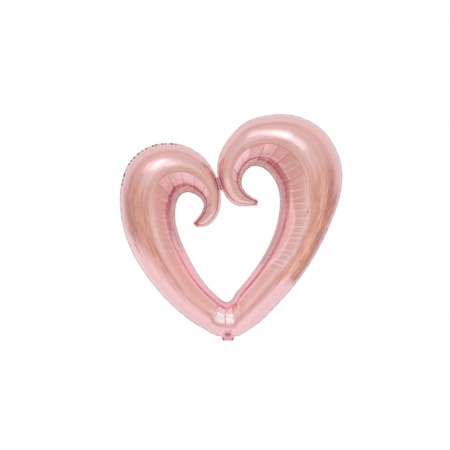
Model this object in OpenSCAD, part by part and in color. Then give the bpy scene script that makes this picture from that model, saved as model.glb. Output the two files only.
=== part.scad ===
// Inflated foil balloon in the shape of an open heart: one curved tube whose two
// ends curl inwards as hooks and meet at the top. Two foil panels are heat-sealed
// round their edges, and a flat two-film valve enters at the neck, at the bottom.
// +Z is up, the front faces -Y, and the origin is on the fold between neck and tail.

/* [Inflated tube] */
// Half depth of the tube as a share of its half width
fullness = 0.85; // [0.6:0.05:1]
// Width of the flat sealed margin round both panels, in mm
seal_width = 5; // [4:0.5:6]
// Thickness each film is modelled with, in mm
film = 0.4; // [0.3:0.05:0.5]
// Length over which a hook's tip rounds up to the full depth, in mm
tip_rise = 20; // [12:1:30]

/* [Neck and valve] */
// Radius of the inflation port in the front of the neck, in mm
port_radius = 7; // [4:0.5:7]
// Height of the neck's pocket in the panels' bottom edge, in mm
pocket_height = 22.5; // [20:0.5:26]
// Width of the valve's two films, in mm
valve_width = 24; // [18:1:28]
// Height that the valve reaches inside the tube, in mm
valve_reach = 105; // [60:5:120]

/* [Tail] */
// Width of the tail at its fold, in mm
tail_width = 56; // [44:1:56]
// Width of the tail at its free end, in mm
tail_end_width = 44; // [30:1:50]
// Length of the tail below its fold, in mm
tail_length = 17; // [12:1:60]

/* [View] */
// Piece to show

/* [Hidden] */

foil_pink = [0.93, 0.74, 0.74];
back_pink = [0.90, 0.68, 0.68];
valve_clear = [0.86, 0.60, 0.64];
$fn = 96;

// Stations of the tube, from the small hook's tip round the bottom to the large
// hook's tip: x and z of the outer cut edge, then x and z of the inner cut edge.
small_side = [
    [-132, 469, -152, 489],
    [-78, 483, -134, 508],
    [-37, 540, -114, 534],
    [-32.5, 630, -104, 565],
    [-61.5, 713, -116, 593],
    [-121, 786, -145, 614],
    [-213, 829, -175, 621],
    [-328, 822, -204, 608],
    [-421, 753, -221, 573],
    [-462, 636, -226, 507],
    [-458, 507, -207, 427],
    [-421, 383, -171, 347],
    [-357, 272, -131, 274],
    [-273, 168, -87, 215],
    [-177, 80, -49, 177],
    [-95, 28, -30, 160],
    [-52, 5, -21, 154]
];
large_side = [
    [52, 6, 12, 156],
    [96, 33, 24, 168],
    [146, 70, 37, 192],
    [231, 157, 86, 251],
    [303, 242, 135, 320],
    [372, 345, 178, 396],
    [436, 473, 210, 482],
    [484, 613, 223, 572],
    [486, 749, 214, 644],
    [423, 873, 186, 695],
    [319, 942, 150, 726],
    [199, 956, 111, 734],
    [77, 923, 79, 715],
    [-13, 829, 61, 682],
    [-47, 726, 61, 648],
    [-21, 623, 77, 621],
    [34, 566, 100, 603],
    [126, 562, 131, 587]
];

// The pocket: a bump in the bottom edge, where the neck's films lap the panels.
pocket_half = 32;
pocket_stations = 3;
// The outermost pocket stations stop short of its ends by this share of their spacing.
station_inset = 0.2;
// An outer edge lower than this is beside the pocket.
pocket_top = pocket_height + 20;
// The inner edge's rounded corner above the pocket, as x, z and curvature.
corner_x = -5;
corner_z = 149;
corner_share = 0.35;
corner_bend = 0.003;
// The neck's films start this far above the fold, so the tail clears them.
fold_gap = 0.6;

function pocket_edge(x) = pocket_height * (1 + cos(180 * x / pocket_half)) / 2;

neck_ribs = [
    for (i = [-pocket_stations : pocket_stations])
        let (x = i * pocket_half / (pocket_stations + station_inset))
            [x, fold_gap + pocket_edge(x), corner_x + corner_share * x, corner_z + corner_bend * x * x]
];

ribs = concat(small_side, neck_ribs, large_side);
last_rib = len(ribs) - 1;

// A smooth curve through the stations, at whole and part station numbers.
function curve(a, b, c, d, t) =
    (2 * b + (c - a) * t + (2 * a - 5 * b + 4 * c - d) * t ^ 2 + (3 * b - a - 3 * c + d) * t ^ 3) / 2;

function rib_at(p) =
    let (
        i = min(floor(p), last_rib - 1),
        before = i == 0 ? 2 * ribs[0] - ribs[1] : ribs[i - 1],
        after = i == last_rib - 1 ? 2 * ribs[last_rib] - ribs[last_rib - 1] : ribs[i + 2]
    )
    curve(before, ribs[i], ribs[i + 1], after, p - i);

function outer_edge(p) = let (r = rib_at(p)) [r[0], r[1]];
function inner_edge(p) = let (r = rib_at(p)) [r[2], r[3]];
function middle(p) = (outer_edge(p) + inner_edge(p)) / 2;

// Rows of the panel's grid as [place, depth share]: at millimetres from a hook's tip,
// at tip_end of the first interval, and then at even steps between the stations.
steps = 3;
tip_marks = [0, 2, 5, 10, 16];
tip_end = 0.7;

function tip_share(d) = d < tip_rise ? sqrt(1 - (1 - d / tip_rise) ^ 2) : 1;

first_span = norm(middle(1) - middle(0));
last_span = norm(middle(last_rib) - middle(last_rib - 1));

tip_rows = concat([[0, 0]], [for (d = tip_marks) [seal_width + d, tip_share(d)]]);

rows = concat(
    [for (r = tip_rows) [r[0] / first_span, r[1]]],
    [[tip_end, 1]],
    [for (i = [1 : last_rib - 2], k = [0 : steps - 1]) [i + k / steps, 1]],
    [[last_rib - 1, 1], [last_rib - tip_end, 1]],
    [for (k = [len(tip_rows) - 1 : -1 : 0]) [last_rib - tip_rows[k][0] / last_span, tip_rows[k][1]]]
);

// Over the pocket the panels part by one film each side, to let the valve through.
parting_end = 60;

function parting(edge) =
    edge[1] > pocket_top ? 0
    : film * min(1, max(0, (parting_end - abs(edge[0])) / (parting_end - pocket_half)));

// Section across one side of the tube: distance in from the outer edge, and y.
arc_steps = 12;

function section(width, depth, part) =
    let (half = width / 2 - seal_width)
    concat(
        [[0, -part]],
        [
            for (k = [0 : arc_steps])
                let (angle = 180 * k / arc_steps)
                    [width / 2 - half * cos(angle), -part * (1 - k / arc_steps) - depth * sin(angle)]
        ],
        [[width, 0]]
    );

function normal(a, b) = let (d = (b - a) / norm(b - a)) [d[1], -d[0]];

// The same section moved outwards by one film.
function outside(points) =
    let (last = len(points) - 1)
    [
        for (k = [0 : last])
            let (
                n1 = normal(points[max(k - 1, 0)], points[max(k, 1)]),
                n2 = normal(points[min(k, last - 1)], points[min(k + 1, last)])
            )
            points[k] + film * (n1 + n2) / (1 + n1 * n2)
    ];

function in_space(p, points) =
    let (
        start = outer_edge(p),
        along = (inner_edge(p) - start) / norm(inner_edge(p) - start)
    )
    [for (q = points) [start[0] + along[0] * q[0], q[1], start[1] + along[1] * q[0]]];

// How far the pocket has raised the outer edge, so the tube's depth can ignore it.
function raised(edge) =
    edge[1] > pocket_top || abs(edge[0]) > pocket_half ? 0 : pocket_edge(edge[0]);

function row_section(row) =
    let (
        edge = outer_edge(row[0]),
        width = norm(inner_edge(row[0]) - edge),
        half = (width + raised(edge)) / 2 - seal_width
    )
    section(width, fullness * half * row[1], parting(edge));

function pair(a, b, c, d) = [[a, b, c], [a, c, d]];

// One panel as a closed skin: its outside, its inside and the rim between them.
module panel() {
    count = arc_steps + 3;
    total = len(rows);
    inside_points = [for (row = rows) each in_space(row[0], row_section(row))];
    outside_points = [for (row = rows) each in_space(row[0], outside(row_section(row)))];
    shift = len(inside_points);
    end = count - 1;
    far = total - 1;
    out_faces = [
        for (r = [0 : far - 1], c = [0 : end - 1])
            let (i = shift + r * count + c)
            each pair(i, i + 1, i + count + 1, i + count)
    ];
    in_faces = [
        for (r = [0 : far - 1], c = [0 : end - 1])
            let (i = r * count + c)
            each pair(i, i + count, i + count + 1, i + 1)
    ];
    side_faces = [
        for (r = [0 : far - 1])
            let (a = r * count, b = a + end)
            each concat(
                pair(shift + a, shift + a + count, a + count, a),
                pair(shift + b + count, shift + b, b, b + count)
            )
    ];
    tip_faces = [
        for (c = [0 : end - 1])
            let (b = far * count + c)
            each concat(
                pair(shift + c + 1, shift + c, c, c + 1),
                pair(shift + b, shift + b + 1, b + 1, b)
            )
    ];
    polyhedron(
        points = concat(inside_points, outside_points),
        faces = concat(out_faces, in_faces, side_faces, tip_faces)
    );
}

// A flat film drawn in x and z, from y = -near to y = -(near + thickness).
module sheet(points, near, thickness) {
    translate([0, -near, 0])
        rotate([90, 0, 0])
            linear_extrude(thickness)
                polygon(points);
}

module behind() {
    mirror([0, 1, 0])
        children();
}

// Neck: the films below the pocket, lapped over the panels' margins.
neck_half = 28;
lap = 3;
port_height = 9.5;
port_cut = 8 * film;
neck_step = 4;

neck_points = concat(
    [for (x = [-neck_half : neck_step : neck_half]) [x, fold_gap + lap + pocket_edge(x)]],
    [[neck_half, fold_gap], [-neck_half, fold_gap]]
);

module neck_plate() {
    sheet(neck_points, 2 * film, film);
}

module front_foil() {
    color(foil_pink)
        panel();
}

module back_foil() {
    color(back_pink)
        behind()
            panel();
}

module neck_front() {
    color(foil_pink)
        difference() {
            neck_plate();
            translate([0, 0, port_height])
                rotate([90, 0, 0])
                    cylinder(h = port_cut, r = port_radius);
        }
}

module neck_back() {
    color(back_pink)
        behind()
            neck_plate();
}

// Valve: two films, face to face, from the neck up through the pocket's edge.
valve_start = 2;
valve_taper = 3;

valve_points = [
    [-valve_width / 2, valve_start],
    [valve_width / 2, valve_start],
    [valve_width / 2 - valve_taper, valve_reach],
    [valve_taper - valve_width / 2, valve_reach]
];

module valve_film_front() {
    color(valve_clear)
        sheet(valve_points, 0, film);
}

module valve_film_back() {
    color(valve_clear)
        behind()
            valve_film_front();
}

// Bridge: the shared sealed web between the two hooks, from edge to edge.
bridge_rows = 2;
small_from = 3;
large_from = last_rib - 2;

bridge_points = concat(
    [for (k = [0 : bridge_rows]) outer_edge(large_from - k / steps)],
    [for (k = [bridge_rows : -1 : 0]) outer_edge(small_from + k / steps)]
);

module lobe_bridge() {
    color(foil_pink)
        sheet(bridge_points, -film, 2 * film);
}

// Tail: the open end below the fold. Its folded top is a roll round the fold's axis.
fold_clearance = 0.05;
roll_radius = 2 * film - fold_clearance;

tail_points = [
    [-tail_width / 2, 0],
    [tail_width / 2, 0],
    [tail_end_width / 2, -tail_length],
    [-tail_end_width / 2, -tail_length]
];

module tail_film() {
    sheet(tail_points, 0, film);
    intersection() {
        translate([-tail_width / 2, 0, 0])
            rotate([0, 90, 0])
                cylinder(h = tail_width, r = roll_radius);
        translate([-tail_width, -2 * roll_radius, -roll_radius])
            cube([2 * tail_width, 2 * roll_radius, 2 * roll_radius]);
    }
}

module tail_front() {
    color(foil_pink)
        tail_film();
}

module tail_back() {
    color(back_pink)
        behind()
            tail_film();
}

front_foil();
back_foil();
neck_front();
neck_back();
valve_film_front();
valve_film_back();
lobe_bridge();
tail_front();
tail_back();
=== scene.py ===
"""Looks of the open-heart foil balloon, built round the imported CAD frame.

Two mirror-like foil skins follow the CAD tube's stations, with pleats round the inner curve
and puckers along the outer seam. Lengths in the station table and the shape settings are in
millimetres, as in the CAD, and are turned into metres where a mesh is made.
"""

import math

import bpy
import numpy as np
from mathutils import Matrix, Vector


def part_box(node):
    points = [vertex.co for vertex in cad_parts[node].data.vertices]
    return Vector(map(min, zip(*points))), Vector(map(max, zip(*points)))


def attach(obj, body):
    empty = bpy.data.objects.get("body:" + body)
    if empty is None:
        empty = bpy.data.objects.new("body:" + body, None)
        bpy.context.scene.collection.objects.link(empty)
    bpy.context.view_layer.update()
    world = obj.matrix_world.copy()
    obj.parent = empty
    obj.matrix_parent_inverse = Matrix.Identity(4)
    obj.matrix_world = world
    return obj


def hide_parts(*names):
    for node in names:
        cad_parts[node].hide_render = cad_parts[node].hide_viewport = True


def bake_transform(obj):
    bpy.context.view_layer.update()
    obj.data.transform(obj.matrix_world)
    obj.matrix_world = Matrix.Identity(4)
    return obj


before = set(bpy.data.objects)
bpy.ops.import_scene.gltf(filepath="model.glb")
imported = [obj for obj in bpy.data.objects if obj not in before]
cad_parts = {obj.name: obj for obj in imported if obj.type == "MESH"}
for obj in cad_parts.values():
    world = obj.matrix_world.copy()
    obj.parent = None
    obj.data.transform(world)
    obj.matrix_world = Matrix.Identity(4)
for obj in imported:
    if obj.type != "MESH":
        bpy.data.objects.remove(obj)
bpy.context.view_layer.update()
scene = bpy.context.scene
MM = 0.001

# ---- camera
VIEW_WIDTH = 1.935
CAMERA_DISTANCE = 6.5
CAMERA_X = -0.0125
CAMERA_Z = 0.4805
SENSOR = 36.0

camera_data = bpy.data.cameras.new("camera")
camera_data.sensor_width = SENSOR
camera_data.lens = SENSOR * CAMERA_DISTANCE / VIEW_WIDTH
camera_data.clip_end = 60
camera = bpy.data.objects.new("camera", camera_data)
camera.location = (CAMERA_X, -CAMERA_DISTANCE, CAMERA_Z)
camera.rotation_euler = (math.pi / 2, 0, 0)
scene.collection.objects.link(camera)
scene.camera = camera

# ---- driving sizes, as in the CAD
FULLNESS = 0.85
SEAL_WIDTH = 5.0
POCKET_HEIGHT = 22.5
POCKET_HALF = 32.0
FOLD_GAP = 0.6
NECK_LAP = 3.0
TIP_RISE = 20.0
FILM = 0.35

# Stations of the tube: x, z of the outer cut edge, then x, z of the inner cut edge.
SMALL_SIDE = [
    (-132, 469, -152, 489), (-78, 483, -134, 508), (-37, 540, -114, 534),
    (-32.5, 630, -104, 565), (-61.5, 713, -116, 593), (-121, 786, -145, 614),
    (-213, 829, -175, 621), (-328, 822, -204, 608), (-421, 753, -221, 573),
    (-462, 636, -226, 507), (-458, 507, -207, 427), (-421, 383, -171, 347),
    (-357, 272, -131, 274), (-273, 168, -87, 215), (-177, 80, -49, 177),
    (-95, 28, -30, 160), (-52, 5, -21, 154),
]
LARGE_SIDE = [
    (52, 6, 12, 156), (96, 33, 24, 168), (146, 70, 37, 192),
    (231, 157, 86, 251), (303, 242, 135, 320), (372, 345, 178, 396),
    (436, 473, 210, 482), (484, 613, 223, 572), (486, 749, 214, 644),
    (423, 873, 186, 695), (319, 942, 150, 726), (199, 956, 111, 734),
    (77, 923, 79, 715), (-13, 829, 61, 682), (-47, 726, 61, 648),
    (-21, 623, 77, 621), (34, 566, 100, 603), (126, 562, 131, 587),
]
POCKET_STATIONS = 3
# The lowest place of the inner edge, x and z.
CORNER_MIDDLE = (-5, 149)


def smooth(a, b, x):
    """0 below a, 1 above b, and a smooth step between."""
    t = np.clip((np.asarray(x, float) - a) / (b - a), 0, 1)
    return t * t * (3 - 2 * t)


def pocket_edge(x):
    """How far the bottom edge is raised over the valve's pocket at x."""
    return POCKET_HEIGHT * (1 + np.cos(math.pi * x / POCKET_HALF)) / 2


def neck_stations():
    """Stations over the neck, where the bottom edge rises over the valve's pocket."""
    x = np.arange(-POCKET_STATIONS, POCKET_STATIONS + 1) * POCKET_HALF / (POCKET_STATIONS + 0.2)
    inner = CORNER_MIDDLE[0] + 0.35 * x, CORNER_MIDDLE[1] + 0.003 * x * x
    return np.stack([x, FOLD_GAP + pocket_edge(x), *inner], axis=1)


RIBS = np.vstack([SMALL_SIDE, neck_stations(), LARGE_SIDE])
LAST = len(RIBS) - 1


def rib_at(p):
    """The stations' smooth curve at station numbers p, as rows of outer x, z, inner x, z."""
    p = np.atleast_1d(np.asarray(p, float))
    i = np.clip(p.astype(int), 0, LAST - 1)
    t = (p - i)[:, None]
    padded = np.vstack([2 * RIBS[0] - RIBS[1], RIBS, 2 * RIBS[-1] - RIBS[-2]])
    a, b, c, d = (padded[i + k] for k in range(4))
    return 0.5 * (
        2 * b
        + (c - a) * t
        + (2 * a - 5 * b + 4 * c - d) * t**2
        + (3 * b - a - 3 * c + d) * t**3
    )


def running_length(points):
    """Distance along a line of points, from 0."""
    return np.concatenate([[0], np.cumsum(np.linalg.norm(np.diff(points, axis=0), axis=1))])


# ---- the tube's grid
ROWS = 880
ARC_STEPS = 48
MARGIN_STEPS = 2
# How much closer together the columns are on the inner half, where the pleats are.
CROWDING = 0.35


class Grid:
    """Places along and across the tube, and what every point of a skin needs to know."""

    def __init__(self):
        p = np.linspace(0, LAST, 6000)
        ribs = rib_at(p)
        middle = (ribs[:, :2] + ribs[:, 2:]) / 2
        along = running_length(middle)
        rows = np.linspace(0, along[-1], ROWS)
        self.station = np.interp(rows, along, p)
        self.ribs = rib_at(self.station)
        self.along = rows
        outer, inner = self.ribs[:, :2], self.ribs[:, 2:]
        self.width = np.linalg.norm(inner - outer, axis=1)
        self.inner_run = running_length(inner)
        self.outer_run = running_length(outer)
        # How far the pocket has raised the bottom edge; the tube's depth ignores it.
        near_neck = (outer[:, 1] < POCKET_HEIGHT + 20) & (np.abs(outer[:, 0]) < POCKET_HALF)
        self.raised = np.where(near_neck, pocket_edge(outer[:, 0]), 0)
        from_tip = np.minimum(rows, along[-1] - rows) - SEAL_WIDTH
        rise = np.clip(from_tip / TIP_RISE, 0, 1)
        half = (self.width + self.raised) / 2 - SEAL_WIDTH
        self.depth = FULLNESS * half * np.sqrt(1 - (1 - rise) ** 2)
        # Bend of the inner edge, in radians per millimetre, smoothed over its neighbours.
        run = np.gradient(inner, axis=0)
        heading = np.unwrap(np.arctan2(run[:, 1], run[:, 0]))
        bend = np.abs(np.gradient(heading) / np.maximum(np.gradient(self.inner_run), 0.4))
        kernel = np.hanning(25)
        self.bend = np.convolve(bend, kernel / kernel.sum(), mode="same")
        # Across: the outer margin, the arc from the outer seal to the inner one, the inner margin.
        margin = np.linspace(0, 1, MARGIN_STEPS + 1)[:-1]
        arc = np.linspace(0, math.pi, ARC_STEPS + 1)
        arc = arc + CROWDING * np.sin(arc)
        self.angle = np.concatenate([np.zeros(MARGIN_STEPS), arc, np.full(MARGIN_STEPS, math.pi)])
        self.outer_margin = np.concatenate([1 - margin, np.zeros(ARC_STEPS + 1 + MARGIN_STEPS)])
        self.inner_margin = self.outer_margin[::-1]
        self.columns = len(self.angle)


GRID = Grid()

# The inner half's cross-section is faceted: a steep rim from the seal to BAND_START, then a
# flat band of pleats to BAND_END, as angles from the inner seal.
BAND_START = 0.86
BAND_END = 1.36
# At the heart's bottom corner the band lies further out, by these angles.
CORNER_START = 0.50
CORNER_END = 0.66
# The inner edge's x at the middle of the corner's two facets, and each facet's width there.
CORNER_X = -9.0
CORNER_FACET_WIDTH = 20.0
# On the larger side's arm the band lies further out, by up to this angle.
DRIFT_ANGLE = 0.30
# Stations where the band lies furthest out, where the orange reflection is painted most, the larger
# side's arm, and the heart's bottom, where the film is smoothest.
DRIFTED = (27.3, 28.9, 29.8, 31.4)
AMBER_REFLECTION_STATIONS = (27.2, 28.4, 30.2, 32.0)
LARGE_ARM = (26.9, 28.3, 30.8, 33.2)
BOTTOM = (10.7, 12.2, 26.9, 28.3)


def stretch(grid, start, full, fade, end):
    """1 on the rows of a stretch of the tube, easing to 0 at its ends; all are station numbers."""
    return smooth(start, full, grid.station) * smooth(end, fade, grid.station)


def at_corner(grid, full=0.8, none=1.2):
    """1 on the rows of the corner's two facets, 0 elsewhere; full and none are facet widths."""
    away = np.abs(grid.ribs[:, 2] - CORNER_X)
    return smooth(none, full, away / CORNER_FACET_WIDTH) * (grid.ribs[:, 3] < 170)


def upper_small_lobe(grid):
    """1 along the top left of the smaller lobe, where the seam is ruffled most."""
    x, z = grid.ribs[:, 0], grid.ribs[:, 1]
    return smooth(610, 700, z) * smooth(-200, -250, x)


def zones(grid):
    """How far each row belongs to an arm, to the bottom, and to the smaller lobe's side."""
    p = grid.station
    below = np.clip((p - 10.1) / 4.6, 0, 1)
    first_arm = smooth(7.4, 9.6, p) * (1 - below) * (p < 20)
    second_arm = stretch(grid, *LARGE_ARM)
    bottom = below * smooth(28.3, 26.9, p)
    return first_arm + second_arm, bottom, smooth(21, 19, p)


def band_moves(grid):
    """How far out the band's inner and outer limits are moved on every row, as angles."""
    corner = at_corner(grid, 0.6, 2.6)
    drift = DRIFT_ANGLE * stretch(grid, *DRIFTED)
    return CORNER_START * corner + drift, CORNER_END * corner + drift


def profile(grid, inward):
    """Across and y places, in millimetres, at angles from the inner seal, for every row."""
    half = (grid.width / 2 - SEAL_WIDTH)[:, None]
    across = grid.width[:, None] / 2 + half * np.cos(inward)
    return across, -grid.depth[:, None] * np.sin(inward)


def base_points(grid, rng):
    """The front skin before its wrinkles, rows by columns by x, y, z, in millimetres."""
    inward = (math.pi - grid.angle)[None] + np.zeros((len(grid.width), 1))
    across, y = profile(grid, inward)
    wobble = wander(grid, rng, 60, 0.035)[:, None]
    start_move, end_move = band_moves(grid)
    start = BAND_START + wobble + start_move[:, None]
    end = BAND_END + 1.6 * wander(grid, rng, 85, 0.035)[:, None] + end_move[:, None]
    flatness = 0.45 + 0.5 * smooth(0.002, 0.012, grid.bend)[:, None]
    for low, high, hold in ((0.12, start, 0.5), (start, end, 1.0)):
        share = np.clip((inward - low) / (high - low), 0, 1)
        inside = (inward > low) & (inward < high)
        first, last = profile(grid, low + 0 * inward), profile(grid, high + 0 * inward)
        for values, a, b in ((across, first[0], last[0]), (y, first[1], last[1])):
            chord = a * (1 - share) + b * share
            values += np.where(inside, (chord - values) * flatness * hold, 0)
    across = across + SEAL_WIDTH * (grid.inner_margin - grid.outer_margin)[None]
    share = across / grid.width[:, None]
    outer, inner = grid.ribs[:, None, :2], grid.ribs[:, None, 2:]
    flat = outer + (inner - outer) * share[..., None]
    return np.stack([flat[..., 0], y, flat[..., 1]], axis=-1), share


def wander(grid, rng, length, size):
    """A smooth random line along the tube, about size high, changing over about length."""
    places = np.arange(-length, grid.along[-1] + 2 * length, length)
    values = rng.normal(0, size, len(places))
    i = np.clip(((grid.along + length) / length).astype(int), 0, len(places) - 2)
    t = smooth(0, 1, (grid.along - places[i]) / length)
    return values[i] * (1 - t) + values[i + 1] * t


def grid_normals(points):
    """Unit normals of a grid of points, pointing to the front of the skin."""
    normal = np.cross(np.gradient(points, axis=0), np.gradient(points, axis=1))
    length = np.linalg.norm(normal, axis=-1, keepdims=True)
    return normal / np.maximum(length, 1e-9)


def crease_places(rng, length, pitch):
    """Uneven places along a length, with pitch(place) between them."""
    places = [-pitch(0) * rng.uniform(0.2, 0.8)]
    while places[-1] < length:
        step = pitch(np.clip(places[-1], 0, length))
        places.append(places[-1] + step * rng.uniform(0.75, 1.3))
    return np.array(places)


def puffs(run, places, depths, heights, power):
    """Height of film puffed out between creases: a crease of its depth at each place.

    run is each point's distance along, so creases lie where run meets a place.
    """
    i = np.clip(np.searchsorted(places, run) - 1, 0, len(places) - 2)
    t = np.clip((run - places[i]) / (places[i + 1] - places[i]), 0, 1)
    depth = depths[i] * (1 - t) + depths[i + 1] * t
    tilt = heights[i] * (1 - t) + heights[i + 1] * t
    return tilt - depth * np.abs(2 * t - 1) ** power, i, t


# Distance between creases along the seams: the pleats on a straight run and round a hook, the
# puckers by each seam, and the ruffles of the inner margin.
PLEAT_PITCH = 23
HOOK_PLEAT_PITCH = 28
OUTER_PUCKER_PITCH = 19
INNER_PUCKER_PITCH = 12
INNER_RUFFLE_PITCH = 14


def pleats(grid, rng, spread):
    """Radial pleats over the inner half of the tube: flat facets between narrow creases.

    spread is how far apart the rows are at each point, as a multiple of that on the inner edge.
    Returns the film's lift, and the marks that the foil's material draws its creases from: the
    pleat's number with the share of the way to the next, its pitch in metres, and how strong
    the nearest crease is.
    """
    run = grid.inner_run

    def pitch(place):
        bend = np.interp(place, run, grid.bend)
        return PLEAT_PITCH + (HOOK_PLEAT_PITCH - PLEAT_PITCH) * smooth(0.004, 0.012, bend)

    places = crease_places(rng, run[-1], pitch)
    # The corner takes just two facets, with a crease between them.
    middle = run[np.argmax(at_corner(grid) - 0.001 * np.abs(grid.ribs[:, 2] - CORNER_X))]
    places = places[np.abs(places - middle) > 1.5 * CORNER_FACET_WIDTH]
    places = np.sort(np.append(places, middle + CORNER_FACET_WIDTH * np.array([-1, 0, 1])))
    count = len(places)
    bend = np.interp(places, run, grid.bend)
    quiet = 1 - 0.8 * np.interp(places, run, stretch(grid, *BOTTOM) * (1 - at_corner(grid)))
    depths = np.clip(0.7 + 95 * bend, 0, 2.2) * rng.uniform(0.6, 1.3, count) * quiet
    heights = rng.uniform(-1, 1, count) * np.clip(0.2 + 40 * bend, 0, 0.8)
    reach = rng.uniform(BAND_END - 0.08, BAND_END + 0.12, count)
    weight = rng.uniform(0.45, 1, count)
    slant = rng.uniform(-3, 3, count) * (np.abs(places - middle) > 1.5 * CORNER_FACET_WIDTH)
    inward = (math.pi - grid.angle)[None]
    sway = 0.8 * np.sin(inward * 5.1 + run[:, None] / 17)
    lean = np.interp(run, places, slant)[:, None] * (inward - 0.6)
    shape, i, t = puffs(run[:, None] + sway + lean, places, depths, heights, 5.0)
    nearest = np.where(t < 0.5, i, i + 1)
    end = reach[nearest] + band_moves(grid)[1][:, None]
    strength = smooth(0.06, 0.4, inward) * (1 - smooth(end - 0.22, end + 0.04, inward))
    lift = shape * strength * np.clip(grid.depth / 60, 0.15, 1)[:, None]
    seen = weight[nearest] * smooth(0.03, 0.12, inward)
    seen = seen * (1 - smooth(end - 0.06, end + 0.03, inward))
    marks = np.stack([i + t, (places[i + 1] - places[i]) * spread * MM, seen], axis=-1)
    return lift, marks


def seam_puckers(grid, rng):
    """Short puckers where the film leaves the outer and the inner seal."""
    arc = grid.angle[None] * grid.depth[:, None]

    def puckers(run, pitch, least, most):
        places = crease_places(rng, run[-1], lambda _: pitch)
        depths = rng.uniform(least, most, len(places))
        return puffs(run[:, None] + 0 * arc, places, depths, 0 * depths, 2.0)[0]

    outer = puckers(grid.outer_run, OUTER_PUCKER_PITCH, 0.2, 0.7)
    ruffled = (1 + 2.5 * upper_small_lobe(grid))[:, None]
    outer = outer * ruffled * np.exp(-arc / 14) * smooth(0, 4, arc)
    from_inner = (math.pi - grid.angle)[None] * grid.depth[:, None]
    inner = puckers(grid.inner_run, INNER_PUCKER_PITCH, 0.1, 0.5)
    inner = inner * np.exp(-from_inner / 10) * smooth(0, 3, from_inner)
    return (outer + inner) * np.clip(grid.depth / 60, 0.1, 1)[:, None]


def tension_lines(grid, rng):
    """Long shallow ridges that run with the tube and draw its reflections out into streaks."""
    outward = grid.angle[None]
    total = 0
    for waves, height, change in ((5, 0.9, 300), (9, 0.55, 190), (17, 0.2, 140)):
        drift = wander(grid, rng, change, 0.9)[:, None]
        fade = 0.6 + wander(grid, rng, change * 0.7, 0.35)[:, None]
        total = total + height * fade * np.sin(waves * outward + drift + rng.uniform(0, 6))
    for length, height in ((230, 0.6), (90, 0.22)):
        skew = rng.uniform(-1.5, 1.5)
        turns = grid.along[:, None] * 2 * math.pi / length
        total = total + height * np.sin(turns + skew * outward)
    cover = smooth(0, 0.5, outward) * smooth(math.pi - 1.1, math.pi - 1.6, outward)
    return total * cover * np.clip(grid.depth / 90, 0.1, 1)[:, None]


def margin_shift(grid, rng):
    """How far the ruffled margin stands out of the seam's plane, shared by both skins."""

    def ruffles(run, pitch, least, most):
        places = crease_places(rng, run[-1], lambda _: pitch)
        sizes = rng.uniform(least, most, len(places)) * np.where(np.arange(len(places)) % 2, 1, -1)
        return np.interp(run, places, sizes)

    wave = ruffles(grid.outer_run, OUTER_PUCKER_PITCH, 0.4, 1.3) * (1 + 1.2 * upper_small_lobe(grid))
    inner_wave = ruffles(grid.inner_run, INNER_RUFFLE_PITCH, 0.2, 0.6)
    quiet = 1 - smooth(90, 50, np.abs(grid.ribs[:, 0])) * smooth(120, 60, grid.ribs[:, 1])
    wave = wave * quiet * smooth(0, 30, np.minimum(grid.along, grid.along[-1] - grid.along))
    return wave[:, None] * grid.outer_margin[None] + inner_wave[:, None] * grid.inner_margin[None]


FRONT_SEED = 11
BACK_SEED = 23
MARGIN_SEED = 5
NECK_SEED = 3
MARGIN_SHIFT = margin_shift(GRID, np.random.default_rng(MARGIN_SEED))
# The middle of the web between the hooks.
WEB_X = -35.0
WEB_Z = 657.0


def skin_points(grid, seed):
    """The outside of one panel's skin, and the marks that its material reads, point by point."""
    rng = np.random.default_rng(seed)
    base, share = base_points(grid, rng)
    normal = grid_normals(base)
    on_dome = ((grid.outer_margin == 0) & (grid.inner_margin == 0))[None]
    row_gap = np.linalg.norm(np.gradient(base, axis=0), axis=-1)
    spread = row_gap / np.maximum(np.gradient(grid.inner_run), 0.5)[:, None]
    lift, pleat = pleats(grid, rng, spread)
    lift = (lift + seam_puckers(grid, rng) + tension_lines(grid, rng)) * on_dome
    lift[:, MARGIN_STEPS] = 0
    lift[:, -MARGIN_STEPS - 1] = 0
    blank = np.zeros_like(share)
    # Where the dome meets the neck, its material paints a paler tone to hide the dark reflection of
    # the port there.
    near_neck = smooth(38, 26, np.abs(grid.ribs[:, 0])) * (grid.ribs[:, 1] < 60)
    by_neck = near_neck[:, None] * smooth(0.17, 0.09, share)
    # The material's share across is as if the pocket hadn't raised the bottom edge.
    whole = (grid.width + grid.raised)[:, None]
    share = 1 - (1 - share) * grid.width[:, None] / whole
    curl = smooth(0.003, 0.009, grid.bend)[:, None]
    tube = np.stack([blank + grid.along[:, None] * MM, share, blank + curl], axis=-1)
    from_web = np.hypot(grid.ribs[:, 0] - WEB_X, grid.ribs[:, 1] - WEB_Z)
    joined = smooth(52, 34, from_web)[:, None] * (share < 0.5)
    ruffled = upper_small_lobe(grid)[:, None] * (share < 0.5)
    seam = np.stack([blank + grid.outer_run[:, None] * MM, ruffled, joined], axis=-1)
    neck = np.stack([by_neck, blank, blank], axis=-1)

    def by_row(*rows):
        return np.stack([blank + row[:, None] for row in rows], axis=-1)

    zone = by_row(*zones(grid))
    spot = by_row(at_corner(grid), stretch(grid, *AMBER_REFLECTION_STATIONS), stretch(grid, *DRIFTED))
    marks = {"tube": tube, "pleat": pleat, "seam": seam, "zone": zone, "spot": spot, "neck": neck}
    return base + normal * lift[..., None], marks


def quads(*corners):
    """Faces from four sets of point numbers, one set for each corner."""
    return np.stack(corners, -1).reshape(-1, 4)


def numbered(layer):
    """A layer's point numbers, laid out as its points, and how far on the other layer's are."""
    rows, columns = layer.shape[:2]
    return np.arange(rows * columns).reshape(rows, columns), rows * columns


def cells(index):
    """The corners of every cell of a grid of point numbers, going round the cell."""
    return index[:-1, :-1], index[:-1, 1:], index[1:, 1:], index[1:, :-1]


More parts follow.
